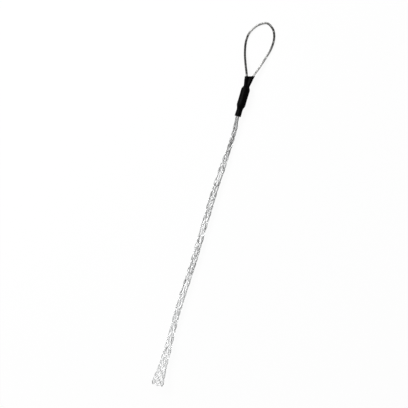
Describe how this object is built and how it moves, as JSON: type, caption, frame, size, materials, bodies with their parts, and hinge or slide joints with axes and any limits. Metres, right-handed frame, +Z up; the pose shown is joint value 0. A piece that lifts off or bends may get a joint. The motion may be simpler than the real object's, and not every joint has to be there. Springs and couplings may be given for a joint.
{
  "type": "cable pulling grip",
  "caption": "Woven wire mesh sock with a flared open mouth, gathered into a pressed ferrule under a black shrink sleeve, with a flexible wire rope pulling eye.",
  "frame": {"origin": "on the surface that the grip lies on, below the middle of its whole box", "axes": "+Y along the grip from the sock's open mouth to the rope eye, +Z up from the surface, +X to the right seen from above"},
  "size_m": [0.0448, 0.5874, 0.0187],
  "materials": {
    "galvanized_strand": "zinc coated, dull bright, laid from fine wires",
    "rope_wire": "zinc coated wire rope, grey, slightly dull",
    "ferrule_steel": "pressed, satin",
    "black_sleeve": "shrunk tube, soft sheen"
  },
  "bodies": {
    "root": {"strand_1": "galvanized_strand", "strand_2": "galvanized_strand", "strand_3": "galvanized_strand", "strand_4": "galvanized_strand", "strand_5": "galvanized_strand", "strand_6": "galvanized_strand", "eye_rope": "rope_wire", "ferrule": "ferrule_steel", "shrink_sleeve": "black_sleeve"}
  },
  "joints": []
}
